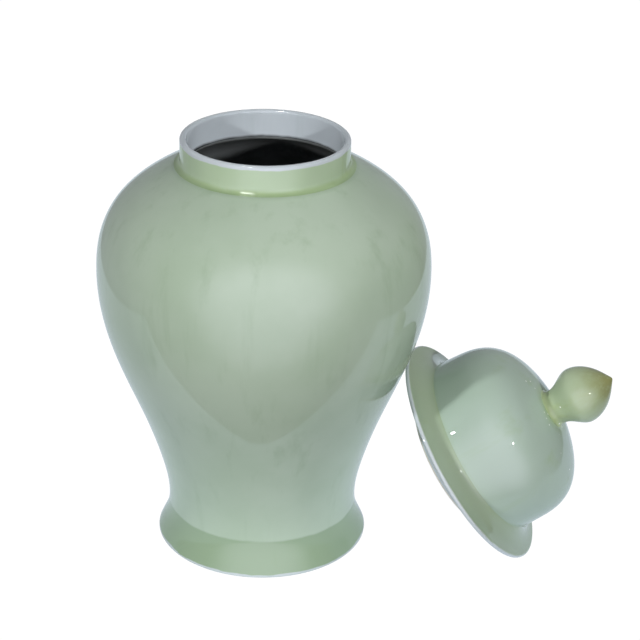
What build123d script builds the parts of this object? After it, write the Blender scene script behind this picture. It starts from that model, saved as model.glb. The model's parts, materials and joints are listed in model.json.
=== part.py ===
"""Ginger jar with its lid set down beside it, built as eight luted ceramic sections.

Millimetres, +Z up, the jar standing on Z = 0 with its own axis on Z.
The lid lies tipped against the jar's right-hand side, its brim edge on the floor.
"""
from build123d import *
import math
import os

os.makedirs("parts", exist_ok=True)

# ---- driving dimensions: jar -------------------------------------------------------
RIM_HEIGHT = 418.0
NECK_RADIUS = 80.0
NECK_WALL = 6.0
NECK_FILLET = 5.5
NECK_JOINT_HEIGHT = 391.0
BODY_WALL = 7.0
BELLY_RADIUS = 160.2
BELLY_HEIGHT = 285.0
WAIST_RADIUS = 93.4
WAIST_HEIGHT = 40.0
FOOT_RADIUS = 104.4
FOOT_EDGE_ROUNDING = 2.0
FOOT_RING_WIDTH = 11.0
FOOT_RECESS_HEIGHT = 13.0
FLOOR_THICKNESS = 9.0
FLOOR_CORNER = 9.0

# outer profile between the joints, as (radius, height)
FOOT_MIDDLE = (95.6, 23.0)
LOWER_PROFILE = [(102.1, 90.0), (120.0, 142.0), (140.7, 193.0), (155.4, 241.0)]
SHOULDER_PROFILE = [(155.8, 321.5), (143.3, 347.3), (116.0, 373.0)]
SHOULDER_EDGE_SLOPE = (-0.88, 0.47)

# ---- driving dimensions: lid, measured along and out from its own axis ---------------
BRIM_RADIUS = 116.2
BRIM_LIP_ROUNDING = 2.4
BRIM_SEAT_HEIGHT = 6.0
BRIM_THICKNESS = 6.0
BRIM_COVE_MIDDLE = (100.4, 7.6)
DOME_BASE_RADIUS = 90.2
DOME_BASE_HEIGHT = 17.0
DOME_WALL = 7.0
DOME_PROFILE = [(89.7, 34.0), (86.6, 57.0), (77.8, 73.0), (62.6, 84.7), (42.0, 92.8)]
CROWN_HEIGHT = 96.5
CROWN_RADIUS = 22.0
COLLAR_RADIUS = 69.8
COLLAR_WALL = 5.8
COLLAR_DEPTH = 19.2
COLLAR_EDGE_ROUNDING = 2.0
KNOB_FOOT_RADIUS = 20.5
KNOB_THROAT = (17.6, 101.5)
KNOB_WIDEST = (28.3, 127.6)
KNOB_CROWN_PROFILE = [(23.3, 143.4), (14.6, 153.6)]
KNOB_TIP_SHOULDER = (2.4, 162.9)
KNOB_POINT_SLOPE = (-0.8, 0.6)
KNOB_TIP_HEIGHT = 163.9

# ---- how the lid lies beside the jar ---------------------------------------------------
LID_AXIS_ELEVATION = 35.05
LID_AXIS_BEARING = -7.47
LID_CENTRE_X = 205.5
LID_CENTRE_Y = -10.4

OFFSET_STEPS = 10


def inner_points(curve, wall):
    """Points a wall thickness inside a profile curve that climbs from bottom to top."""
    points = []
    for step in range(OFFSET_STEPS + 1):
        place = step / OFFSET_STEPS
        along = curve % place
        inward = Vector(-along.Y, along.X)
        points.append(curve @ place + inward * wall)
    return points


# ---- jar base: the turned foot and the floor of the jar --------------------------------
floor_top = FOOT_RECESS_HEIGHT + FLOOR_THICKNESS
base_bore = WAIST_RADIUS - BODY_WALL
recess_radius = FOOT_RADIUS - FOOT_EDGE_ROUNDING - FOOT_RING_WIDTH
with BuildPart() as jar_base:
    with BuildSketch(Plane.XZ):
        with BuildLine():
            Line((0, FOOT_RECESS_HEIGHT), (recess_radius - FOOT_RECESS_HEIGHT / 2, FOOT_RECESS_HEIGHT))
            Line((recess_radius - FOOT_RECESS_HEIGHT / 2, FOOT_RECESS_HEIGHT), (recess_radius, 0))
            Line((recess_radius, 0), (FOOT_RADIUS - FOOT_EDGE_ROUNDING, 0))
            RadiusArc(
                (FOOT_RADIUS - FOOT_EDGE_ROUNDING, 0),
                (FOOT_RADIUS, FOOT_EDGE_ROUNDING),
                -FOOT_EDGE_ROUNDING,
            )
            Spline(
                (FOOT_RADIUS, FOOT_EDGE_ROUNDING),
                FOOT_MIDDLE,
                (WAIST_RADIUS, WAIST_HEIGHT),
                tangents=((-0.4, 0.92), (0, 1)),
            )
            Line((WAIST_RADIUS, WAIST_HEIGHT), (base_bore, WAIST_HEIGHT))
            Line((base_bore, WAIST_HEIGHT), (base_bore, floor_top + FLOOR_CORNER))
            RadiusArc(
                (base_bore, floor_top + FLOOR_CORNER),
                (base_bore - FLOOR_CORNER, floor_top),
                FLOOR_CORNER,
            )
            Line((base_bore - FLOOR_CORNER, floor_top), (0, floor_top))
            Line((0, floor_top), (0, FOOT_RECESS_HEIGHT))
        make_face()
    revolve(axis=Axis.Z)
jar_base.part.label = "jar_base"
export_step(jar_base.part, "parts/jar_base.step")

# ---- lower body: from the waist up to the belly seam -------------------------------------
with BuildPart() as jar_lower_body:
    with BuildSketch(Plane.XZ):
        with BuildLine():
            lower_outside = Spline(
                (WAIST_RADIUS, WAIST_HEIGHT),
                *LOWER_PROFILE,
                (BELLY_RADIUS, BELLY_HEIGHT),
                tangents=((0, 1), (0, 1)),
            )
            lower_inside = Spline(inner_points(lower_outside, BODY_WALL), tangents=((0, 1), (0, 1)))
            Line(lower_outside @ 0, lower_inside @ 0)
            Line(lower_outside @ 1, lower_inside @ 1)
        make_face()
    revolve(axis=Axis.Z)
jar_lower_body.part.label = "jar_lower_body"
export_step(jar_lower_body.part, "parts/jar_lower_body.step")

# ---- upper body: from the belly seam over the shoulder to the neck -------------------------
mouth_radius = NECK_RADIUS - NECK_WALL
shoulder_edge = (NECK_RADIUS + NECK_FILLET, NECK_JOINT_HEIGHT)
with BuildPart() as jar_upper_body:
    with BuildSketch(Plane.XZ):
        with BuildLine():
            upper_outside = Spline(
                (BELLY_RADIUS, BELLY_HEIGHT),
                *SHOULDER_PROFILE,
                shoulder_edge,
                tangents=((0, 1), SHOULDER_EDGE_SLOPE),
            )
            upper_inside = Spline(
                inner_points(upper_outside, BODY_WALL), tangents=((0, 1), SHOULDER_EDGE_SLOPE)
            )
            mouth_corner = Spline(
                upper_inside @ 1,
                (mouth_radius, NECK_JOINT_HEIGHT),
                tangents=(SHOULDER_EDGE_SLOPE, (0, 1)),
            )
            Line(upper_outside @ 0, upper_inside @ 0)
            Line(upper_outside @ 1, mouth_corner @ 1)
        make_face()
    revolve(axis=Axis.Z)
jar_upper_body.part.label = "jar_upper_body"
export_step(jar_upper_body.part, "parts/jar_upper_body.step")

# ---- neck: straight collar of the mouth with its rounded lip --------------------------------
lip_rounding = NECK_WALL / 2
with BuildPart() as jar_neck:
    with BuildSketch(Plane.XZ):
        with BuildLine():
            Line((mouth_radius, NECK_JOINT_HEIGHT), shoulder_edge)
            RadiusArc(shoulder_edge, (NECK_RADIUS, NECK_JOINT_HEIGHT + NECK_FILLET), NECK_FILLET)
            Line(
                (NECK_RADIUS, NECK_JOINT_HEIGHT + NECK_FILLET),
                (NECK_RADIUS, RIM_HEIGHT - lip_rounding),
            )
            ThreePointArc(
                (NECK_RADIUS, RIM_HEIGHT - lip_rounding),
                (NECK_RADIUS - lip_rounding, RIM_HEIGHT),
                (mouth_radius, RIM_HEIGHT - lip_rounding),
            )
            Line((mouth_radius, RIM_HEIGHT - lip_rounding), (mouth_radius, NECK_JOINT_HEIGHT))
        make_face()
    revolve(axis=Axis.Z)
jar_neck.part.label = "jar_neck"
export_step(jar_neck.part, "parts/jar_neck.step")

# ---- lid frame: origin on the lid's axis in the plane of its brim edge -----------------------
elevation = math.radians(LID_AXIS_ELEVATION)
bearing = math.radians(LID_AXIS_BEARING)
lid_axis_direction = Vector(
    math.cos(elevation) * math.cos(bearing),
    math.cos(elevation) * math.sin(bearing),
    math.sin(elevation),
)
lid_up_the_brim = Vector(
    -math.sin(elevation) * math.cos(bearing),
    -math.sin(elevation) * math.sin(bearing),
    math.cos(elevation),
)
brim_edge_reach = (BRIM_RADIUS - BRIM_LIP_ROUNDING) * math.cos(elevation)
brim_edge_drop = BRIM_LIP_ROUNDING * math.sin(elevation)
lid_centre_z = brim_edge_reach - brim_edge_drop + BRIM_LIP_ROUNDING
lid_origin = Vector(LID_CENTRE_X, LID_CENTRE_Y, lid_centre_z)
lid_axis = Axis(lid_origin, lid_axis_direction)
lid_section = Plane(
    origin=lid_origin,
    x_dir=lid_up_the_brim,
    z_dir=lid_up_the_brim.cross(lid_axis_direction),
)

# ---- lid brim: the flared ring that rests on the neck -----------------------------------------
ledge_top = BRIM_SEAT_HEIGHT + BRIM_THICKNESS
collar_bore = COLLAR_RADIUS - COLLAR_WALL
dome_bore = DOME_BASE_RADIUS - DOME_WALL
lip_centre = BRIM_RADIUS - BRIM_LIP_ROUNDING
with BuildPart() as lid_brim:
    with BuildSketch(lid_section):
        with BuildLine():
            Line((collar_bore, BRIM_SEAT_HEIGHT), (NECK_RADIUS, BRIM_SEAT_HEIGHT))
            Spline(
                (NECK_RADIUS, BRIM_SEAT_HEIGHT),
                (lip_centre, 0),
                tangents=((1, 0), (1, 0)),
            )
            ThreePointArc(
                (lip_centre, 0),
                (BRIM_RADIUS, BRIM_LIP_ROUNDING),
                (lip_centre, 2 * BRIM_LIP_ROUNDING),
            )
            Spline(
                (lip_centre, 2 * BRIM_LIP_ROUNDING),
                BRIM_COVE_MIDDLE,
                (DOME_BASE_RADIUS, DOME_BASE_HEIGHT),
                tangents=((-1, 0.1), (-0.3, 0.95)),
            )
            Line((DOME_BASE_RADIUS, DOME_BASE_HEIGHT), (dome_bore, DOME_BASE_HEIGHT))
            Line((dome_bore, DOME_BASE_HEIGHT), (dome_bore, ledge_top))
            Line((dome_bore, ledge_top), (collar_bore, ledge_top))
            Line((collar_bore, ledge_top), (collar_bore, BRIM_SEAT_HEIGHT))
        make_face()
    revolve(axis=lid_axis)
lid_brim.part.label = "lid_brim"
export_step(lid_brim.part, "parts/lid_brim.step")

# ---- lid dome: the raised crown ---------------------------------------------------------------
with BuildPart() as lid_dome:
    with BuildSketch(lid_section):
        with BuildLine():
            dome_outside = Spline(
                (DOME_BASE_RADIUS, DOME_BASE_HEIGHT),
                *DOME_PROFILE,
                (CROWN_RADIUS, CROWN_HEIGHT),
                tangents=((0, 1), (-1, 0)),
            )
            dome_inside = Spline(inner_points(dome_outside, DOME_WALL), tangents=((0, 1), (-1, 0)))
            crown_underside = (0, (dome_inside @ 1).Y)
            Line(dome_outside @ 0, dome_inside @ 0)
            Line(dome_outside @ 1, (0, CROWN_HEIGHT))
            Line((0, CROWN_HEIGHT), crown_underside)
            Line(crown_underside, dome_inside @ 1)
        make_face()
    revolve(axis=lid_axis)
lid_dome.part.label = "lid_dome"
export_step(lid_dome.part, "parts/lid_dome.step")

# ---- lid collar: the ring under the brim that drops into the neck --------------------------------
with BuildPart() as lid_collar:
    with BuildSketch(lid_section):
        with Locations(((collar_bore + COLLAR_RADIUS) / 2, (BRIM_SEAT_HEIGHT - COLLAR_DEPTH) / 2)):
            Rectangle(COLLAR_WALL, BRIM_SEAT_HEIGHT + COLLAR_DEPTH)
    revolve(axis=lid_axis)
    collar_end = lid_collar.faces().filter_by(GeomType.PLANE).sort_by(lid_axis)[0]
    fillet(collar_end.edges(), COLLAR_EDGE_ROUNDING)
lid_collar.part.label = "lid_collar"
export_step(lid_collar.part, "parts/lid_collar.step")

# ---- lid knob: the bud-shaped finial ----------------------------------------------------------
with BuildPart() as lid_knob:
    with BuildSketch(lid_section):
        with BuildLine():
            Line((0, CROWN_HEIGHT), (KNOB_FOOT_RADIUS, CROWN_HEIGHT))
            Spline((KNOB_FOOT_RADIUS, CROWN_HEIGHT), KNOB_THROAT, tangents=((-1, 0.35), (0, 1)))
            Spline(KNOB_THROAT, KNOB_WIDEST, tangents=((0, 1), (0, 1)))
            Spline(
                KNOB_WIDEST,
                *KNOB_CROWN_PROFILE,
                KNOB_TIP_SHOULDER,
                tangents=((0, 1), KNOB_POINT_SLOPE),
            )
            Spline(
                KNOB_TIP_SHOULDER,
                (0, KNOB_TIP_HEIGHT),
                tangents=(KNOB_POINT_SLOPE, (-1, 0)),
            )
            Line((0, KNOB_TIP_HEIGHT), (0, CROWN_HEIGHT))
        make_face()
    revolve(axis=lid_axis)
lid_knob.part.label = "lid_knob"
export_step(lid_knob.part, "parts/lid_knob.step")
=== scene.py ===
"""Looks for the ginger jar and its lid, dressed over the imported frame.

The jar and the lid are turned shapes. Each clay section is a closed solid of
revolution with its own glaze, standing for the CAD node of the same section.
"""

import json
import logging
import math
from collections.abc import Sequence
from dataclasses import dataclass, field
from enum import Enum

import bmesh
import bpy
import numpy as np
from mathutils import Matrix, Vector


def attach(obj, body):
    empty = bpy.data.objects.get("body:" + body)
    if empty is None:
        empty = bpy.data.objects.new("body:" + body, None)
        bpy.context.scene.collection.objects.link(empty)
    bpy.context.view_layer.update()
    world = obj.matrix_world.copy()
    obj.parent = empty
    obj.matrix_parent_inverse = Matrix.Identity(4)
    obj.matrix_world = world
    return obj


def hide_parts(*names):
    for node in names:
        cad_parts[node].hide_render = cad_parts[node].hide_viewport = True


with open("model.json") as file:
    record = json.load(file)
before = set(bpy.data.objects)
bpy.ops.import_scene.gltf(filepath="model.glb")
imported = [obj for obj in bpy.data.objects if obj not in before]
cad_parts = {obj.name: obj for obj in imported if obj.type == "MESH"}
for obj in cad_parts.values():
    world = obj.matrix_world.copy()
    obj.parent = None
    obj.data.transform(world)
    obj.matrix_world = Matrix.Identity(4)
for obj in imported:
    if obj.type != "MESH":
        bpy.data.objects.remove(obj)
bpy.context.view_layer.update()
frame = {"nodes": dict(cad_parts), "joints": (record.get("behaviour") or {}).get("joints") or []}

LOG = logging.getLogger("ginger_jar")
FULL_TURN = 2.0 * math.pi
MERGE_DISTANCE = 1e-6
SHARP_ANGLE = math.radians(28.0)
SEAM_STEP = 0.06

Point = tuple[float, float]
Place = tuple[float, float, float]
Colour = tuple[float, float, float]


class Body(Enum):
    """Rigid bodies of the frame that pieces ride on."""

    JAR = "jar"
    LID = "lid"


class Surface(Enum):
    """Which finish a stretch of a section's outline takes."""

    GLAZED = 0
    INSIDE = 1
    BARE = 2


# ---------------------------------------------------------------- outlines


def clamped_spline(points: Sequence[Point], start: Point, end: Point, step: float) -> list[Point]:
    """Sample a smooth curve through points that leaves and arrives in given directions.

    Args:
        points: Places (radius, height) that the curve passes through.
        start: Direction in which the curve leaves its first point.
        end: Direction in which the curve arrives at its last point.
        step: Largest distance between neighbouring samples.

    Returns:
        The samples from the first point to the last.
    """
    knots = np.array(points, float)
    spans = np.linalg.norm(np.diff(knots, axis=0), axis=1)
    count = len(knots)
    matrix = np.zeros((count, count))
    target = np.zeros((count, 2))
    matrix[0, 0] = matrix[-1, -1] = 1.0
    target[0] = np.array(start) / np.linalg.norm(start)
    target[-1] = np.array(end) / np.linalg.norm(end)
    for i in range(1, count - 1):
        before, after = spans[i - 1], spans[i]
        matrix[i, i - 1 : i + 2] = 1.0 / before, 2.0 / before + 2.0 / after, 1.0 / after
        target[i] = 3.0 * (
            (knots[i] - knots[i - 1]) / before**2 + (knots[i + 1] - knots[i]) / after**2
        )
    slopes = np.linalg.solve(matrix, target)
    samples: list[Point] = []
    for i, span in enumerate(spans):
        pieces = max(2, math.ceil(span / step))
        turns = list(np.linspace(0.0, 1.0, pieces, endpoint=False))
        if i == 0:
            turns.insert(1, SEAM_STEP / pieces)
        if i == count - 2:
            turns.append(1.0 - SEAM_STEP / pieces)
        for t in turns:
            place = (
                (2 * t**3 - 3 * t**2 + 1) * knots[i]
                + (t**3 - 2 * t**2 + t) * span * slopes[i]
                + (3 * t**2 - 2 * t**3) * knots[i + 1]
                + (t**3 - t**2) * span * slopes[i + 1]
            )
            samples.append((float(place[0]), float(place[1])))
    samples.append((float(knots[-1][0]), float(knots[-1][1])))
    return samples


def arc(centre: Point, radius: float, begin: float, finish: float, count: int = 8) -> list[Point]:
    """Sample a circular arc.

    Args:
        centre: Centre of the circle.
        radius: Radius of the circle.
        begin: First angle in degrees, from the outward direction.
        finish: Last angle in degrees.
        count: Number of spans along the arc.

    Returns:
        The samples, both ends included.
    """
    angles = np.radians(np.linspace(begin, finish, count + 1))
    return [(centre[0] + radius * math.cos(a), centre[1] + radius * math.sin(a)) for a in angles]


def inside_of(curve: Sequence[Point], wall: float) -> list[Point]:
    """Shift a rising outline inwards by a wall thickness.

    Args:
        curve: Outline samples from bottom to top.
        wall: Wall thickness.

    Returns:
        The shifted samples, in the same order.
    """
    places = np.array(curve)
    along = np.gradient(places, axis=0)
    along /= np.linalg.norm(along, axis=1)[:, None]
    shifted = places + wall * np.column_stack([-along[:, 1], along[:, 0]])
    return [(float(r), float(z)) for r, z in shifted]


@dataclass
class Outline:
    """Half section of a turned piece, with the finish of each stretch."""

    points: list[Point] = field(default_factory=list)
    surfaces: list[Surface] = field(default_factory=list)

    def run(self, points: Sequence[Point], surface: Surface) -> "Outline":
        """Continue the outline through more points.

        Args:
            points: Next places along the outline.
            surface: Finish of the stretch that leads to each of them.

        Returns:
            This outline.
        """
        for place in points:
            if self.points and math.dist(self.points[-1], place) < MERGE_DISTANCE:
                continue
            self.points.append(place)
            self.surfaces.append(surface)
        return self


# ---------------------------------------------------------------- turned solids


@dataclass
class TurningAxis:
    """Place and direction of an axis that pieces are turned about."""

    origin: Vector
    direction: Vector
    up: Vector

    def matrix(self) -> Matrix:
        """Return the transform from axis space, axis on +Z, to the row frame."""
        side = self.direction.cross(self.up)
        turn = Matrix((self.up, side, self.direction)).transposed()
        return Matrix.Translation(self.origin) @ turn.to_4x4()

    @classmethod
    def upright(cls) -> "TurningAxis":
        """Return the vertical axis through the row's origin."""
        return cls(Vector((0, 0, 0)), Vector((0, 0, 1)), Vector((1, 0, 0)))

    @classmethod
    def of_lid(cls) -> "TurningAxis":
        """Return the lid's own axis, its origin in the plane of the brim's edge."""
        direction = Vector(frame["joints"][0]["axis"]).normalized()
        level = Vector((0, 0, 1)) - direction * direction.z
        up = level.normalized()
        side = direction.cross(up)
        spots = [v.co for v in frame["nodes"]["lid_brim"].data.vertices]
        rises = [s.dot(up) for s in spots]
        shifts = [s.dot(side) for s in spots]
        base = min(s.dot(direction) for s in spots)
        origin = (
            up * (max(rises) + min(rises)) / 2
            + side * (max(shifts) + min(shifts)) / 2
            + direction * base
        )
        return cls(origin, direction, up)


class Turner:
    """Turns outlines into closed, smooth-shaded solids."""

    def __init__(self, axis: TurningAxis, steps: int) -> None:
        """Keep the axis and how finely to turn.

        Args:
            axis: Axis of revolution.
            steps: Number of steps in a full turn.
        """
        self.axis = axis
        self.steps = steps

    def turn(
        self, name: str, outline: Outline, materials: Sequence[bpy.types.Material]
    ) -> bpy.types.Object:
        """Spin an outline into a solid.

        Args:
            name: Name of the new piece.
            outline: Half section; it closes on itself, or both its ends lie on the axis.
            materials: One material for each value of Surface.

        Returns:
            The new object, its place in its mesh.
        """
        bm = bmesh.new()
        spots = [bm.verts.new((r, 0.0, z)) for r, z in outline.points]
        open_ended = abs(outline.points[0][0]) < MERGE_DISTANCE
        pairs = list(zip(spots, spots[1:], outline.surfaces[1:]))
        if not open_ended:
            pairs.append((spots[-1], spots[0], outline.surfaces[0]))
        edges = [bm.edges.new((first, second)) for first, second, _ in pairs]
        bands = self._bands(pairs)
        bmesh.ops.spin(
            bm,
            geom=spots + edges,
            cent=(0.0, 0.0, 0.0),
            axis=(0.0, 0.0, 1.0),
            angle=FULL_TURN,
            steps=self.steps,
            use_merge=True,
            use_duplicate=False,
        )
        bmesh.ops.remove_doubles(bm, verts=bm.verts[:], dist=MERGE_DISTANCE)
        bmesh.ops.recalc_face_normals(bm, faces=bm.faces[:])
        self._dress(bm, bands)
        for edge in bm.edges:
            if edge.is_manifold and edge.calc_face_angle() > SHARP_ANGLE:
                edge.smooth = False
        bmesh.ops.transform(bm, matrix=self.axis.matrix(), verts=bm.verts[:])
        mesh = bpy.data.meshes.new(name)
        bm.to_mesh(mesh)
        bm.free()
        for material in materials:
            mesh.materials.append(material)
        piece = bpy.data.objects.new(name, mesh)
        bpy.context.scene.collection.objects.link(piece)
        return piece

    @staticmethod
    def _bands(pairs: Sequence[tuple]) -> list[tuple[Point, int]]:
        """Return the middle of each outline stretch with its surface number."""
        bands = []
        for first, second, surface in pairs:
            middle = (first.co + second.co) / 2
            bands.append(((middle.x, middle.z), surface.value))
        return bands

    @staticmethod
    def _dress(bm: bmesh.types.BMesh, bands: Sequence[tuple[Point, int]]) -> None:
        """Give each face the finish of the outline stretch it was turned from.

        Args:
            bm: The turned mesh, still upright.
            bands: Middle of each outline stretch with its surface number.
        """
        places = np.array([place for place, _ in bands])
        for face in bm.faces:
            face.smooth = True
            corners = [(math.hypot(v.co.x, v.co.y), v.co.z) for v in face.verts]
            low = min(corners)
            high = max(corners)
            middle = np.array([(low[0] + high[0]) / 2, sum(c[1] for c in corners) / len(corners)])
            nearest = int(np.argmin(((places - middle) ** 2).sum(axis=1)))
            face.material_index = bands[nearest][1]


# ---------------------------------------------------------------- shader writing


class ShaderBench:
    """Writes nodes into one material, one call for each."""

    def __init__(self, name: str) -> None:
        """Start an empty node material.

        Args:
            name: Name of the material.
        """
        self.material = bpy.data.materials.new(name)
        self.material.use_nodes = True
        self.tree = self.material.node_tree
        self.tree.nodes.clear()
        self.output = self.tree.nodes.new("ShaderNodeOutputMaterial")

    def node(self, kind: str, inputs: dict | None = None, **settings: object) -> bpy.types.Node:
        """Add a node, set its properties, and set or link its inputs.

        Args:
            kind: Node type.
            inputs: Input name or number to a value or to an output socket.
            settings: Node properties.

        Returns:
            The new node.
        """
        made = self.tree.nodes.new(kind)
        for key, value in settings.items():
            setattr(made, key, value)
        for key, value in (inputs or {}).items():
            if isinstance(value, bpy.types.NodeSocket):
                self.tree.links.new(value, made.inputs[key])
            else:
                made.inputs[key].default_value = value
        return made

    def place(self, axis: TurningAxis) -> bpy.types.NodeSocket:
        """Return object coordinates measured from a turning axis, with the axis on Z."""
        coordinates = self.node("ShaderNodeTexCoord")
        matrix = axis.matrix()
        mapping = self.node(
            "ShaderNodeMapping", {"Vector": coordinates.outputs["Object"]}, vector_type="TEXTURE"
        )
        mapping.inputs["Location"].default_value = matrix.to_translation()
        mapping.inputs["Rotation"].default_value = matrix.to_euler()
        return mapping.outputs["Vector"]

    def calc(
        self, operation: str, first: object, second: object = 0.0, clamp: bool = False
    ) -> bpy.types.NodeSocket:
        """Return the result of one arithmetic step."""
        inputs = {0: first, 1: second}
        return self.node("ShaderNodeMath", inputs, operation=operation, use_clamp=clamp).outputs[0]

    def ramp(
        self, value: object, low: float, high: float, easing: str = "SMOOTHSTEP"
    ) -> bpy.types.NodeSocket:
        """Return 0 at low, 1 at high, and a soft climb between them.

        Args:
            value: Socket that is measured.
            low: Value that gives 0.
            high: Value that gives 1.
            easing: How the climb eases in and out.

        Returns:
            The resulting socket.
        """
        climb = self.node(
            "ShaderNodeMapRange",
            {"Value": value, "From Min": low, "From Max": high},
            interpolation_type=easing,
        )
        return climb.outputs["Result"]

    def hump(self, value: object, centre: float, half_width: float) -> bpy.types.NodeSocket:
        """Return a soft bump of 1 at a value that fades to 0 at a half width from it."""
        away = self.calc("ABSOLUTE", self.calc("SUBTRACT", value, centre))
        return self.calc("SUBTRACT", 1.0, self.ramp(away, 0.0, half_width), clamp=True)

    def noise(
        self, vector: object, scale: float, detail: float = 3.0, roughness: float = 0.5
    ) -> bpy.types.NodeSocket:
        """Return fractal noise between 0 and 1."""
        inputs = {"Vector": vector, "Scale": scale, "Detail": detail, "Roughness": roughness}
        return self.node("ShaderNodeTexNoise", inputs).outputs[0]

    def stretched(self, vector: object, scale: Sequence[float]) -> bpy.types.NodeSocket:
        """Return coordinates scaled differently along each axis."""
        inputs = {0: vector, 1: tuple(scale)}
        return self.node("ShaderNodeVectorMath", inputs, operation="MULTIPLY").outputs[0]

    def mix(self, amount: object, first: object, second: object) -> bpy.types.NodeSocket:
        """Return a blend of two colours."""
        made = self.node("ShaderNodeMix", {"Factor": amount}, data_type="RGBA")
        for socket, value in ((made.inputs[6], first), (made.inputs[7], second)):
            if isinstance(value, bpy.types.NodeSocket):
                self.tree.links.new(value, socket)
            else:
                socket.default_value = (*value, 1.0)
        return made.outputs[2]

    def finish(
        self, colour: object, roughness: object, normal: object, **fixed: float
    ) -> bpy.types.Material:
        """Join everything to the surface shader.

        Args:
            colour: Base colour socket.
            roughness: Roughness socket or number.
            normal: Normal socket.
            fixed: Uniform shader values by input name, spaces as underscores.

        Returns:
            The finished material.
        """
        surface = self.node(
            "ShaderNodeBsdfPrincipled",
            {"Base Color": colour, "Roughness": roughness, "Normal": normal},
        )
        for key, value in fixed.items():
            surface.inputs[key.replace("_", " ")].default_value = value
        self.tree.links.new(surface.outputs[0], self.output.inputs["Surface"])
        return self.material


class RoomBench(ShaderBench):
    """Writes nodes into the world that surrounds the table."""

    def __init__(self, name: str) -> None:
        """Start an empty world.

        Args:
            name: Name of the world.
        """
        self.world = bpy.data.worlds.new(name)
        self.world.use_nodes = True
        self.tree = self.world.node_tree
        self.tree.nodes.clear()
        self.output = self.tree.nodes.new("ShaderNodeOutputWorld")


# ---------------------------------------------------------------- finishes


@dataclass(frozen=True)
class Pool:
    """A ring where the glaze has run together and stands thick; the ring at the jar's foot also
    carries painted shade.
    """

    height: float
    half_width: float
    inner: float
    outer: float
    strength: float = 1.0
    feather: float = 0.005
    softness: float = 1.0


@dataclass(frozen=True)
class Thinning:
    """An edge off which the glaze has run thin, so that pale clay shows."""

    height: float
    half_width: float
    inner: float
    strength: float = 1.0


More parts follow.
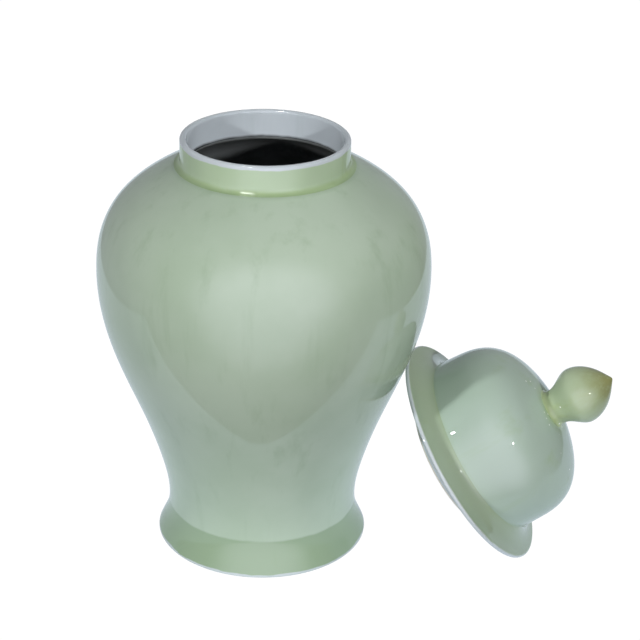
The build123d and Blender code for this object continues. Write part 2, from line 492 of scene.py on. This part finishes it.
@dataclass(frozen=True)
class CeladonGlaze:
    """Glossy pale green glaze over white porcelain."""

    name: str
    axis: TurningAxis
    pools: tuple[Pool, ...] = ()
    thin_edges: tuple[Thinning, ...] = ()
    body: Colour = (0.42, 0.53, 0.405)
    bright: Colour = (0.47, 0.575, 0.46)
    deep: Colour = (0.335, 0.455, 0.235)
    pale: Colour = (0.60, 0.655, 0.70)
    fleck: Colour = (0.05, 0.085, 0.05)
    streak: float = 0.35
    cloud_scale: float = 9.0
    streak_scale: Place = (46.0, 46.0, 5.0)
    wander: float = 0.004
    thinning_plateau: float = 0.78
    gloss: Point = (0.015, 0.045)
    refraction: float = 1.5
    relief_depth: float = 0.00045
    # Band of heights over which the colour sinks into painted shade, and that shade's colour.
    painted_shade_band: Point = (0.0, 0.0)
    shade: Colour = (0.018, 0.020, 0.020)
    tip_height: float = 0.0
    tip_reach: Point = (0.036, 0.004)
    tip_swell: float = 0.018
    tip_strength: float = 0.85
    tip_colour: Colour = (0.23, 0.22, 0.055)
    pinhole_scale: float = 26.0
    pinhole_rarity: float = 0.93
    pinhole_edge: Point = (0.016, 0.030)
    pinhole_strength: float = 0.8
    # Painted highlights: where the white glints on the bubbles round the knob's root lie, how many,
    # how big, and their colour.
    bubble_glint_height: float = 0.0
    bubble_glint_spread: float = 0.018
    bubble_glint_scale: float = 170.0
    bubble_glint_share: float = 0.55
    bubble_glint_edge: Point = (0.10, 0.16)
    bubble_glint: Colour = (0.95, 0.97, 0.95)

    def material(self) -> bpy.types.Material:
        """Build the glaze's node material.

        Returns:
            The material.
        """
        bench = ShaderBench(self.name)
        place = bench.place(self.axis)
        split = bench.node("ShaderNodeSeparateXYZ", {0: place})
        height = split.outputs["Z"]
        flat = bench.stretched(place, (1.0, 1.0, 0.0))
        radius = bench.node("ShaderNodeVectorMath", {0: flat}, operation="LENGTH").outputs["Value"]
        clouds = bench.noise(place, self.cloud_scale, 4.0, 0.55)
        streaks = bench.noise(bench.stretched(place, self.streak_scale), 1.0, 4.0, 0.6)
        colour = bench.mix(bench.ramp(clouds, 0.32, 0.70), self.body, self.bright)
        streaky = bench.calc("MULTIPLY", bench.ramp(streaks, 0.52, 0.80), self.streak)
        colour = bench.mix(streaky, colour, self.deep)
        swing = bench.calc("SUBTRACT", bench.noise(place, 34.0), 0.5)
        wander = bench.calc("MULTIPLY", swing, self.wander)
        level = bench.calc("ADD", height, wander)
        for pool in self.pools:
            off = bench.calc("ABSOLUTE", bench.calc("SUBTRACT", level, pool.height))
            ring = bench.ramp(off, pool.half_width, pool.half_width * (1.0 - pool.softness))
            within = bench.ramp(radius, pool.outer, pool.outer - pool.feather)
            beyond = bench.ramp(radius, pool.inner, pool.inner + pool.feather)
            amount = bench.calc("MULTIPLY", bench.calc("MULTIPLY", ring, within), beyond)
            colour = bench.mix(bench.calc("MULTIPLY", amount, pool.strength), colour, self.deep)
        if self.tip_height:
            uneven = bench.calc("SUBTRACT", bench.noise(place, 60.0), 0.5)
            swell = bench.calc("MULTIPLY", uneven, self.tip_swell)
            tip = bench.ramp(
                bench.calc("ADD", height, swell),
                self.tip_height - self.tip_reach[0],
                self.tip_height + self.tip_reach[1],
            )
            brushed = bench.noise(bench.stretched(place, (320.0, 320.0, 60.0)), 1.0, 3.0)
            patchy = bench.calc("MULTIPLY", tip, bench.ramp(brushed, -0.25, 0.55))
            stain = bench.calc("MULTIPLY", patchy, self.tip_strength)
            colour = bench.mix(stain, colour, self.tip_colour)
        for edge in self.thin_edges:
            away = bench.calc("ABSOLUTE", bench.calc("SUBTRACT", level, edge.height))
            ring = bench.ramp(away, edge.half_width, edge.half_width * self.thinning_plateau)
            beyond = bench.ramp(radius, edge.inner - 0.001, edge.inner + 0.001)
            amount = bench.calc("MULTIPLY", bench.calc("MULTIPLY", ring, beyond), edge.strength)
            colour = bench.mix(amount, colour, self.pale)
        # Painted shade: below the given band of heights the colour sinks to the shade colour,
        # darkening the inside of the neck towards its root, where the jar's dark interior begins.
        if self.painted_shade_band[1]:
            painted_shade_amount = bench.ramp(level, self.painted_shade_band[1], self.painted_shade_band[0])
            colour = bench.mix(painted_shade_amount, colour, self.shade)
        colour = bench.mix(self._flecks(bench, place), colour, self.fleck)
        # Painted highlights: white glints on the bubbles round the knob's root.
        if self.bubble_glint_height:
            colour = bench.mix(self._bubble_glints(bench, place, height), colour, self.bubble_glint)
        return bench.finish(
            colour,
            bench.node(
                "ShaderNodeMapRange",
                {
                    "Value": bench.noise(place, 26.0),
                    "To Min": self.gloss[0],
                    "To Max": self.gloss[1],
                },
            ).outputs["Result"],
            self._relief(bench, place),
            IOR=self.refraction,
            Specular_IOR_Level=0.5,
        )

    def _flecks(self, bench: ShaderBench, place: bpy.types.NodeSocket) -> bpy.types.NodeSocket:
        """Return a mask of sparse pinholes.

        Args:
            bench: Bench of the material.
            place: Coordinates about the axis.

        Returns:
            A socket that is 1 in a pinhole.
        """
        inputs = {"Vector": place, "Scale": self.pinhole_scale}
        cells = bench.node("ShaderNodeTexVoronoi", inputs, feature="F1")
        chance = bench.node("ShaderNodeSeparateColor", {0: cells.outputs["Color"]})
        rare = bench.calc("GREATER_THAN", chance.outputs[0], self.pinhole_rarity)
        outside = bench.ramp(cells.outputs["Distance"], *self.pinhole_edge)
        near = bench.calc("SUBTRACT", 1.0, outside)
        return bench.calc("MULTIPLY", bench.calc("MULTIPLY", rare, near), self.pinhole_strength)

    def _bubble_glints(
        self, bench: ShaderBench, place: bpy.types.NodeSocket, height: bpy.types.NodeSocket
    ) -> bpy.types.NodeSocket:
        """Return a mask of painted highlights: white glints on the tiny bubbles crowded round the
        knob's root.

        Args:
            bench: Bench of the material.
            place: Coordinates about the axis.
            height: Height along the axis.

        Returns:
            A socket that is 1 on a painted glint.
        """
        inputs = {"Vector": place, "Scale": self.bubble_glint_scale}
        cells = bench.node("ShaderNodeTexVoronoi", inputs, feature="F1")
        chance = bench.node("ShaderNodeSeparateColor", {0: cells.outputs["Color"]})
        crowd = bench.hump(height, self.bubble_glint_height, self.bubble_glint_spread)
        limit = bench.calc("MULTIPLY", crowd, self.bubble_glint_share)
        chosen = bench.calc("LESS_THAN", chance.outputs[0], limit)
        outside = bench.ramp(cells.outputs["Distance"], *self.bubble_glint_edge)
        near = bench.calc("SUBTRACT", 1.0, outside)
        return bench.calc("MULTIPLY", chosen, near)

    def _relief(self, bench: ShaderBench, place: bpy.types.NodeSocket) -> bpy.types.NodeSocket:
        """Return the glaze's surface normal: slow waves, turning rings and orange peel.

        Args:
            bench: Bench of the material.
            place: Coordinates about the axis.

        Returns:
            The normal socket.
        """
        waves = bench.calc("MULTIPLY", bench.noise(place, 13.0, 2.0), 0.30)
        turning = bench.noise(bench.stretched(place, (3.0, 3.0, 90.0)), 1.0, 2.0)
        rings = bench.calc("MULTIPLY", turning, 0.10)
        peel = bench.calc("MULTIPLY", bench.noise(place, 620.0, 2.0), 0.006)
        relief = bench.calc("ADD", bench.calc("ADD", waves, rings), peel)
        inputs = {"Strength": 1.0, "Distance": self.relief_depth, "Height": relief}
        bump = bench.node("ShaderNodeBump", inputs)
        return bump.outputs["Normal"]


@dataclass(frozen=True)
class PaintedShadeInside:
    """Glossy dark colour on the inside of the jar: painted shade, standing in for the shade within
    it.
    """

    name: str = "painted_shade_inside"
    # Colours of the painted shade: its dark, and lighter patches at random.
    deep: Colour = (0.150, 0.160, 0.155)
    lighter_shade: Colour = (0.260, 0.280, 0.290)

    def material(self) -> bpy.types.Material:
        """Build the painted shade's node material.

        Returns:
            The material.
        """
        bench = ShaderBench(self.name)
        place = bench.place(TurningAxis.upright())
        patches = bench.noise(place, 14.0, 5.0, 0.6)
        rings = bench.noise(bench.stretched(place, (4.0, 4.0, 160.0)), 1.0, 2.0)
        # Painted shade, with lighter patches at random.
        colour = bench.mix(bench.ramp(patches, 0.35, 0.75), self.deep, self.lighter_shade)
        rough = bench.node("ShaderNodeMapRange", {"Value": patches, "To Min": 0.30, "To Max": 0.50})
        bump = bench.node("ShaderNodeBump", {"Strength": 0.6, "Distance": 0.0006, "Height": rings})
        return bench.finish(colour, rough.outputs["Result"], bump.outputs["Normal"], IOR=1.45)


@dataclass(frozen=True)
class BareClay:
    """Unglazed porcelain biscuit of a standing edge."""

    name: str = "bare_biscuit"
    light: Colour = (0.72, 0.69, 0.62)
    toasted: Colour = (0.58, 0.50, 0.41)

    def material(self) -> bpy.types.Material:
        """Build the biscuit's node material.

        Returns:
            The material.
        """
        bench = ShaderBench(self.name)
        place = bench.place(TurningAxis.upright())
        scorch = bench.noise(place, 22.0, 5.0, 0.65)
        grit = bench.noise(place, 900.0, 3.0)
        colour = bench.mix(bench.ramp(scorch, 0.50, 0.80), self.light, self.toasted)
        colour = bench.mix(bench.ramp(grit, 0.62, 0.78), colour, self.toasted)
        bump = bench.node("ShaderNodeBump", {"Strength": 0.5, "Distance": 0.0003, "Height": grit})
        return bench.finish(colour, 0.72, bump.outputs["Normal"], IOR=1.45)


# ---------------------------------------------------------------- the jar


@dataclass
class Jar:
    """The standing jar: foot, lower body, shoulder and neck, in metres."""

    rim_height: float = 0.418
    neck_radius: float = 0.080
    neck_wall: float = 0.006
    neck_fillet: float = 0.0055
    neck_joint: float = 0.391
    body_wall: float = 0.007
    belly: Point = (0.1602, 0.285)
    waist: Point = (0.0934, 0.040)
    foot_radius: float = 0.1044
    foot_rounding: float = 0.002
    foot_ring_width: float = 0.011
    foot_middle: Point = (0.0956, 0.023)
    recess_height: float = 0.013
    floor_thickness: float = 0.009
    floor_corner: float = 0.009
    lower_profile: tuple[Point, ...] = (
        (0.1021, 0.090),
        (0.120, 0.142),
        (0.1407, 0.193),
        (0.1554, 0.241),
    )
    shoulder_profile: tuple[Point, ...] = ((0.1558, 0.3215), (0.1433, 0.3473), (0.116, 0.373))
    shoulder_slope: Point = (-0.88, 0.47)
    sample_step: float = 0.0025
    turn_steps: int = 224

    def build(self) -> list[bpy.types.Object]:
        """Make every section of the jar.

        Returns:
            The new pieces.
        """
        axis = TurningAxis.upright()
        turner = Turner(axis, self.turn_steps)
        glaze = CeladonGlaze(
            "jar_celadon",
            axis,
            pools=(
                Pool(0.3920, 0.0042, 0.076, 0.0915, strength=0.4),
                # The second ring, at the foot, is a darker, greener band: partly thicker glaze,
                # partly painted shade where the foot gets less light.
                Pool(0.0, 0.036, 0.080, 0.12, strength=0.80, softness=0.08),
            ),
            # This darker deep colour carries that painted shade as well as the pooled glaze.
            deep=(0.270, 0.375, 0.235),
            thin_edges=(Thinning(0.0005, 0.0032, 0.100, 0.8),),
        ).material()
        neck_glaze = CeladonGlaze(
            "neck_celadon",
            axis,
            pools=(Pool(0.3920, 0.0046, 0.073, 0.0915, strength=0.8),),
            thin_edges=(Thinning(0.4185, 0.0052, 0.070),),
            body=(0.42, 0.55, 0.36),
            bright=(0.47, 0.585, 0.42),
            streak=0.9,
        ).material()
        neck_inside = CeladonGlaze(
            "neck_inside_pale",
            axis,
            body=(0.56, 0.62, 0.67),
            bright=(0.62, 0.68, 0.73),
            deep=(0.48, 0.56, 0.58),
            # Painted shade: this inside darkens towards the neck's root.
            painted_shade_band=(0.3908, 0.3945),
        ).material()
        # Painted shade for the inside walls of the jar.
        inside_shade = PaintedShadeInside().material()
        clay = BareClay().material()
        coats = (glaze, inside_shade, clay)
        neck_coats = (neck_glaze, neck_inside, clay)
        makers = (
            ("jar_foot", self._foot(), coats, "jar_base", "foot_and_floor"),
            ("jar_lower_wall", self._lower(), coats, "jar_lower_body", "jar_glaze"),
            ("jar_shoulder", self._upper(), coats, "jar_upper_body", "jar_glaze"),
            ("jar_neck_ring", self._neck(), neck_coats, "jar_neck", "neck_glaze"),
        )
        pieces = []
        for name, outline, materials, node, slot in makers:
            piece = turner.turn(name, outline, materials)
            settle(piece, Body.JAR, node)
            pieces.append(piece)
        return pieces

    def _foot(self) -> Outline:
        """Return the section of the turned foot and the jar's floor."""
        reach = self.foot_radius - self.foot_rounding
        recess = reach - self.foot_ring_width
        shelf = recess - self.recess_height / 2
        floor_top = self.recess_height + self.floor_thickness
        bore = self.waist[0] - self.body_wall
        edge = arc((reach, self.foot_rounding), self.foot_rounding, -90, 0)
        flare = clamped_spline(
            [(self.foot_radius, self.foot_rounding), self.foot_middle, self.waist],
            (-0.4, 0.92),
            (0, 1),
            self.sample_step,
        )
        corner = arc(
            (bore - self.floor_corner, floor_top + self.floor_corner), self.floor_corner, 0, -90
        )
        outline = Outline()
        outline.run([(0.0, self.recess_height), (shelf, self.recess_height)], Surface.GLAZED)
        outline.run([(recess, 0.0), (reach, 0.0)], Surface.BARE)
        outline.run(edge[1:3], Surface.BARE)
        outline.run(edge[3:], Surface.GLAZED)
        outline.run(flare, Surface.GLAZED)
        outline.run([(bore, self.waist[1])], Surface.BARE)
        outline.run(corner, Surface.INSIDE)
        outline.run([(0.0, floor_top)], Surface.INSIDE)
        return outline

    def _lower(self) -> Outline:
        """Return the section of the wall from the waist to the belly."""
        outside = clamped_spline(
            [self.waist, *self.lower_profile, self.belly], (0, 1), (0, 1), self.sample_step
        )
        return self._shell(outside)

    def _upper(self) -> Outline:
        """Return the section of the wall from the belly to the neck's root."""
        edge = (self.neck_radius + self.neck_fillet, self.neck_joint)
        outside = clamped_spline(
            [self.belly, *self.shoulder_profile, edge],
            (0, 1),
            self.shoulder_slope,
            self.sample_step,
        )
        inside = inside_of(outside, self.body_wall)
        mouth = (self.neck_radius - self.neck_wall, self.neck_joint)
        corner = clamped_spline(
            [inside[-1], mouth], self.shoulder_slope, (0, 1), self.sample_step / 2
        )
        outline = Outline()
        outline.run(outside, Surface.GLAZED)
        outline.run([mouth], Surface.BARE)
        outline.run(list(reversed(corner)), Surface.INSIDE)
        outline.run(list(reversed(inside)), Surface.INSIDE)
        outline.surfaces[0] = Surface.BARE
        return outline

    def _shell(self, outside: Sequence[Point]) -> Outline:
        """Return the section of a wall of even thickness.

        Args:
            outside: Outer outline from bottom to top.

        Returns:
            The closed section.
        """
        inside = inside_of(outside, self.body_wall)
        outline = Outline()
        outline.run(outside, Surface.GLAZED)
        outline.run([inside[-1]], Surface.BARE)
        outline.run(list(reversed(inside)), Surface.INSIDE)
        outline.surfaces[0] = Surface.BARE
        return outline

    def _neck(self) -> Outline:
        """Return the section of the neck with its rounded lip."""
        rounding = self.neck_wall / 2
        mouth = self.neck_radius - self.neck_wall
        root = arc(
            (self.neck_radius + self.neck_fillet, self.neck_joint + self.neck_fillet),
            self.neck_fillet,
            -90,
            -180,
        )
        lip = arc((self.neck_radius - rounding, self.rim_height - rounding), rounding, 0, 180, 20)
        wall_steps = np.linspace(self.rim_height - rounding, self.neck_joint, 10)
        outline = Outline()
        outline.run(root, Surface.GLAZED)
        rising = [float(z) for z in reversed(wall_steps[1:-1]) if z > root[-1][1]]
        outline.run([(self.neck_radius, z) for z in rising], Surface.GLAZED)
        outline.run(lip[:11], Surface.GLAZED)
        outline.run(lip[11:], Surface.INSIDE)
        outline.run([(mouth, float(z)) for z in wall_steps], Surface.INSIDE)
        outline.surfaces[0] = Surface.BARE
        return outline


# ---------------------------------------------------------------- the lid


@dataclass
class Lid:
    """The lid that lies against the jar: brim, crown, collar and knob, in metres."""

    brim_radius: float = 0.1162
    lip_rounding: float = 0.0024
    seat_height: float = 0.006
    brim_thickness: float = 0.006
    cove_middle: Point = (0.1004, 0.0076)
    neck_radius: float = 0.080
    dome_base: Point = (0.0902, 0.017)
    dome_wall: float = 0.007
    dome_profile: tuple[Point, ...] = (
        (0.0897, 0.034),
        (0.0866, 0.057),
        (0.0778, 0.073),
        (0.0626, 0.0847),
        (0.042, 0.0928),
    )
    crown: Point = (0.022, 0.0965)
    collar_radius: float = 0.0698
    collar_wall: float = 0.0058
    collar_depth: float = 0.0192
    collar_rounding: float = 0.002
    knob_foot_radius: float = 0.0205
    knob_throat: Point = (0.0176, 0.1015)
    knob_widest: Point = (0.0283, 0.1276)
    knob_crown: tuple[Point, ...] = ((0.0233, 0.1434), (0.0146, 0.1536))
    knob_shoulder: Point = (0.0024, 0.1629)
    knob_slope: Point = (-0.8, 0.6)
    knob_tip: float = 0.1639
    sample_step: float = 0.002
    # Height of the painted glints on the bubbles round the knob's root.
    bubble_glint_height: float = 0.1015
    turn_steps: int = 192

    def build(self) -> list[bpy.types.Object]:
        """Make every section of the lid.

        Returns:
            The new pieces.
        """
        axis = TurningAxis.of_lid()
        turner = Turner(axis, self.turn_steps)
        crease = Pool(self.dome_base[1], 0.004, 0.084, 0.098, strength=0.15)
        knob_root = Pool(0.0965, 0.009, 0.006, 0.032, strength=0.45, feather=0.010)
        glaze = CeladonGlaze(
            "lid_celadon",
            axis,
            pools=(crease, knob_root),
            body=(0.400, 0.510, 0.425),
            bright=(0.435, 0.545, 0.470),
            bubble_glint_height=self.bubble_glint_height,
        ).material()
        # The brim's glaze is darker than the dome's: this darkening is painted shade, standing in
        # for light the brim lacks.
        brim_shaded_glaze = CeladonGlaze(
            "brim_celadon_painted_shade",
            axis,
            pools=(crease,),
            thin_edges=(Thinning(0.0018, 0.0032, 0.1152),),
            body=(0.325, 0.410, 0.285),
            bright=(0.350, 0.435, 0.320),
        ).material()
        pale = CeladonGlaze(
            "lid_underside_pale",
            axis,
            body=(0.50, 0.57, 0.60),
            bright=(0.55, 0.62, 0.66),
            deep=(0.44, 0.53, 0.51),
        ).material()
        knob_glaze = CeladonGlaze(
            "knob_celadon",
            axis,
            pools=(Pool(0.098, 0.009, -0.006, 0.030, strength=0.4),),
            body=(0.42, 0.52, 0.34),
            bright=(0.46, 0.555, 0.38),
            deep=(0.36, 0.45, 0.16),
            tip_height=self.knob_tip,
            bubble_glint_height=self.bubble_glint_height,
        ).material()
        clay = BareClay("collar_biscuit").material()
        makers = (
            ("lid_brim_ring", self._brim(), (brim_shaded_glaze, pale, clay), "lid_brim", "lid_glaze"),
            ("lid_crown", self._dome(), (glaze, pale, clay), "lid_dome", "lid_glaze"),
            ("lid_collar_ring", self._collar(), (pale, pale, clay), "lid_collar", "collar_glaze"),
            ("lid_bud_knob", self._knob(), (knob_glaze, pale, clay), "lid_knob", "knob_glaze"),
        )
        pieces = []
        for name, outline, materials, node, slot in makers:
            piece = turner.turn(name, outline, materials)
            settle(piece, Body.LID, node)
            pieces.append(piece)
        return pieces

    def _brim(self) -> Outline:
        """Return the section of the flared brim."""
        ledge = self.seat_height + self.brim_thickness
        collar_bore = self.collar_radius - self.collar_wall
        dome_bore = self.dome_base[0] - self.dome_wall
        lip_centre = self.brim_radius - self.lip_rounding
        under = clamped_spline(
            [(self.neck_radius, self.seat_height), (lip_centre, 0.0)],
            (1, 0),
            (1, 0),
            self.sample_step,
        )
        lip = arc((lip_centre, self.lip_rounding), self.lip_rounding, -90, 90, 14)
        cove = clamped_spline(
            [(lip_centre, 2 * self.lip_rounding), self.cove_middle, self.dome_base],
            (-1, 0.1),
            (-0.3, 0.95),
            self.sample_step / 2,
        )
        outline = Outline()
        outline.run([(collar_bore, self.seat_height)], Surface.INSIDE)
        outline.run(under, Surface.INSIDE)
        outline.run(lip[1:3], Surface.INSIDE)
        outline.run(lip[3:], Surface.GLAZED)
        outline.run(cove, Surface.GLAZED)
        outline.run([(dome_bore, self.dome_base[1])], Surface.BARE)
        outline.run([(dome_bore, ledge), (collar_bore, ledge)], Surface.INSIDE)
        return outline

    def _dome(self) -> Outline:
        """Return the section of the hollow crown."""
        outside = clamped_spline(
            [self.dome_base, *self.dome_profile, self.crown], (0, 1), (-1, 0), self.sample_step
        )
        inside = inside_of(outside, self.dome_wall)
        outline = Outline()
        outline.run([(0.0, inside[-1][1])], Surface.INSIDE)
        outline.run(list(reversed(inside)), Surface.INSIDE)
        outline.run([outside[0]], Surface.BARE)
        outline.run(outside, Surface.GLAZED)
        outline.run([(0.0, self.crown[1])], Surface.GLAZED)
        return outline

    def _collar(self) -> Outline:
        """Return the section of the locating ring."""
        bore = self.collar_radius - self.collar_wall
        rounding = self.collar_rounding
        low = -self.collar_depth
        inner = arc((bore + rounding, low + rounding), rounding, 180, 270)
        outer = arc((self.collar_radius - rounding, low + rounding), rounding, 270, 360)
        outline = Outline()
        outline.run([(bore, self.seat_height)], Surface.BARE)
        outline.run(inner, Surface.INSIDE)
        outline.run(outer, Surface.BARE)
        outline.run([(self.collar_radius, self.seat_height)], Surface.GLAZED)
        return outline

    def _knob(self) -> Outline:
        """Return the section of the bud-shaped knob."""
        step = self.sample_step / 2
        foot = clamped_spline(
            [(self.knob_foot_radius, self.crown[1]), self.knob_throat], (-1, 0.35), (0, 1), step
        )
        bulge = clamped_spline([self.knob_throat, self.knob_widest], (0, 1), (0, 1), step)
        crown = clamped_spline(
            [self.knob_widest, *self.knob_crown, self.knob_shoulder], (0, 1), self.knob_slope, step
        )
        tip = clamped_spline(
            [self.knob_shoulder, (0.0, self.knob_tip)], self.knob_slope, (-1, 0), step / 2
        )
        outline = Outline()
        outline.run([(0.0, self.crown[1])], Surface.BARE)
        outline.run(foot[:1], Surface.BARE)
        for stretch in (foot, bulge, crown, tip):
            outline.run(stretch, Surface.GLAZED)
        return outline


def settle(piece: bpy.types.Object, body: Body, node: str) -> None:
    """Let a piece ride on its body and stand for its CAD node.

    Args:
        piece: The finished piece.
        body: Body it moves with.
        node: CAD node it stands for.
    """
    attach(piece, body.value)
    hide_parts(node)
    LOG.info("%s: %d faces, rides on %s", piece.name, len(piece.data.polygons), body.value)


# ---------------------------------------------------------------- the studio


@dataclass(frozen=True)
class Softbox:
    """One studio light, a square of a given size."""

    name: str
    place: Place
    size: float
    power: float

    def hang(self, aim: Place) -> bpy.types.Object:
        """Place the light so that it faces a point.

        Args:
            aim: Point that the light faces.

        Returns:
            The light object.
        """
        data = bpy.data.lights.new(self.name, "AREA")
        data.shape = "SQUARE"
        data.size = self.size
        data.energy = self.power
        lamp = bpy.data.objects.new(self.name, data)
        lamp.location = self.place
        facing = Vector(aim) - Vector(self.place)
        lamp.rotation_euler = facing.to_track_quat("-Z", "Y").to_euler()
        bpy.context.scene.collection.objects.link(lamp)
        return lamp


@dataclass
class Studio:
    """White table in a dim room, soft lights and the camera."""

    table_left: float = -0.74
    table_right: float = 0.74
    table_front: float = -0.175
    table_back: float = 3.0
    table_level: float = -0.0005
    room_size: float = 14.0
    white: Colour = (1.03, 1.03, 1.03)
    table: Colour = (0.66, 0.75, 0.83)
    front_wall: Colour = (0.16, 0.14, 0.12)
    back_wall: Colour = (0.36, 0.38, 0.42)
    right_wall: Colour = (0.20, 0.19, 0.17)
    ceiling: Colour = (0.22, 0.22, 0.22)
    back_wall_span: Point = (-0.35, 0.35)
    right_wall_span: Point = (0.30, 0.80)
    ceiling_span: Point = (0.15, 0.95)
    glow: Colour = (2.30, 2.25, 2.65)
    glow_from: Place = (0.05, -0.98, 0.10)
    glow_reach: float = 64.0
    lamps: tuple[Softbox, ...] = (
        Softbox("left_lamp", (-1.80, -1.43, 1.18), 0.12, 29.0),
        Softbox("right_lamp", (1.36, -1.85, 1.18), 0.12, 30.0),
        Softbox("fill_softbox", (0.0, -1.9, 1.6), 2.0, 4.0),
        Softbox("low_softbox", (-0.1, -1.6, 0.12), 0.8, 4.0),
        Softbox("overhead_softbox", (1.0, 0.7, 2.0), 2.0, 15.0),
    )
    glint_lamps: tuple[Softbox, ...] = (
        Softbox("left_glint_lamp", (-1.66, -1.34, 1.34), 0.08, 6.0),
        Softbox("right_glint_lamp", (1.5, -1.75, 1.20), 0.08, 6.0),
    )
    lip_glint: Softbox = Softbox("lip_glint_softbox", (-0.60, -0.95, 2.3), 0.45, 25.0)
    lamp_aim: Place = (0.05, 0.0, 0.25)
    eye: Place = (0.0546, -1.6918, 1.0332)
    pitch_down: float = 25.386
    roll: float = 1.322
    lens: float = 108.43

    def build(self, neck: bpy.types.Object, lid: Sequence[bpy.types.Object]) -> None:
        """Make the floor, the room's glow, the lights and the camera.

        Args:
            neck: The jar's neck, which all the glint lamps shine on.
            lid: Pieces of the lid, which the two small glint lamps shine on.
        """
        self._floor()
        self._room()
        self._lights(neck, lid)
        self._camera()

    def _floor(self) -> None:
        """Lay the pale floor, and the table top that only the glaze mirrors."""
        half = self.room_size / 2
        pale = self._sheet("pale_floor", self.white, (-half, -half, 0.0), (half, half, 0.0))
        pale.visible_glossy = False
        pale.visible_diffuse = False
        near_left = (self.table_left, self.table_front, self.table_level)
        far_right = (self.table_right, self.table_back, self.table_level)
        self._sheet("table_top", self.table, near_left, far_right).visible_camera = False

    @staticmethod
    def _sheet(name: str, colour: Colour, low: Place, high: Place) -> bpy.types.Object:
        """Lay one level, evenly bright sheet that belongs to the studio.

        Args:
            name: Name of the sheet.
            colour: Its brightness.
            low: Its corner nearest the front left.
            high: Its corner farthest from the front left.

        Returns:
            The new object.
        """
        bm = bmesh.new()
        bmesh.ops.create_grid(bm, x_segments=1, y_segments=1, size=0.5)
        size = Vector(high) - Vector(low)
        bmesh.ops.scale(bm, verts=bm.verts[:], vec=(size.x, size.y, 1.0))
        bmesh.ops.translate(bm, verts=bm.verts[:], vec=(Vector(low) + Vector(high)) / 2)
        mesh = bpy.data.meshes.new(name)
        bm.to_mesh(mesh)
        bm.free()
        bench = ShaderBench(f"{name}_white")
        light = bench.node("ShaderNodeEmission", {"Color": (*colour, 1.0)})
        bench.tree.links.new(light.outputs[0], bench.output.inputs["Surface"])
        mesh.materials.append(bench.material)
        sheet = bpy.data.objects.new(name, mesh)
        bpy.context.scene.collection.objects.link(sheet)
        return sheet

    def _room(self) -> None:
        """Give the room its walls, its ceiling and the soft glow in front of the table."""
        bench = RoomBench("soft_room")
        around = bench.node("ShaderNodeTexCoord").outputs["Generated"]
        split = bench.node("ShaderNodeSeparateXYZ", {0: around})
        behind = bench.ramp(split.outputs["Y"], *self.back_wall_span)
        colour = bench.mix(behind, self.front_wall, self.back_wall)
        right = bench.ramp(split.outputs["X"], *self.right_wall_span)
        colour = bench.mix(right, colour, self.right_wall)
        overhead = bench.ramp(split.outputs["Z"], *self.ceiling_span)
        colour = bench.mix(overhead, colour, self.ceiling)
        towards = tuple(Vector(self.glow_from).normalized())
        inputs = {0: around, 1: towards}
        facing = bench.node("ShaderNodeVectorMath", inputs, operation="DOT_PRODUCT")
        rim = math.cos(math.radians(self.glow_reach))
        lobe = bench.ramp(facing.outputs["Value"], rim, 1.0, "SMOOTHERSTEP")
        back = bench.node("ShaderNodeBackground", {"Color": bench.mix(lobe, colour, self.glow)})
        bench.tree.links.new(back.outputs[0], bench.output.inputs["Surface"])
        bench.world.cycles_visibility.diffuse = False
        bpy.context.scene.world = bench.world

    def _lights(self, neck: bpy.types.Object, lid: Sequence[bpy.types.Object]) -> None:
        """Hang the lamps, and the small ones that only glint in the glaze.

        Args:
            neck: The jar's neck.
            lid: Pieces of the lid.
        """
        for lamp in self.lamps:
            lamp.hang(self.lamp_aim).visible_glossy = False
        for lamp in self.glint_lamps:
            self._glint(lamp, [neck, *lid])
        self._glint(self.lip_glint, [neck])
        bpy.context.scene.view_settings.view_transform = "Standard"

    def _glint(self, softbox: Softbox, pieces: Sequence[bpy.types.Object]) -> None:
        """Hang a lamp that is only mirrored, and only by some pieces.

        Args:
            softbox: The lamp.
            pieces: Pieces that mirror it.
        """
        receivers = bpy.data.collections.new(f"{softbox.name}_pieces")
        for piece in pieces:
            receivers.objects.link(piece)
        lamp = softbox.hang(self.lamp_aim)
        lamp.visible_diffuse = False
        lamp.light_linking.receiver_collection = receivers

    def _camera(self) -> None:
        """Place the camera."""
        data = bpy.data.cameras.new("camera")
        data.lens = self.lens
        camera = bpy.data.objects.new("camera", data)
        tilt = Matrix.Rotation(math.radians(90.0 - self.pitch_down), 3, "X")
        camera.rotation_euler = (tilt @ Matrix.Rotation(math.radians(self.roll), 3, "Z")).to_euler()
        camera.location = self.eye
        bpy.context.scene.collection.objects.link(camera)
        bpy.context.scene.camera = camera


def main() -> None:
    """Build the jar, the lid and the studio, in that order."""
    logging.basicConfig(level=logging.INFO, format="%(name)s: %(message)s")
    jar = Jar().build()
    lid = Lid().build()
    LOG.info("%d pieces built", len(jar) + len(lid))
    Studio().build(jar[-1], lid)


if __name__ == "__main__":
    main()
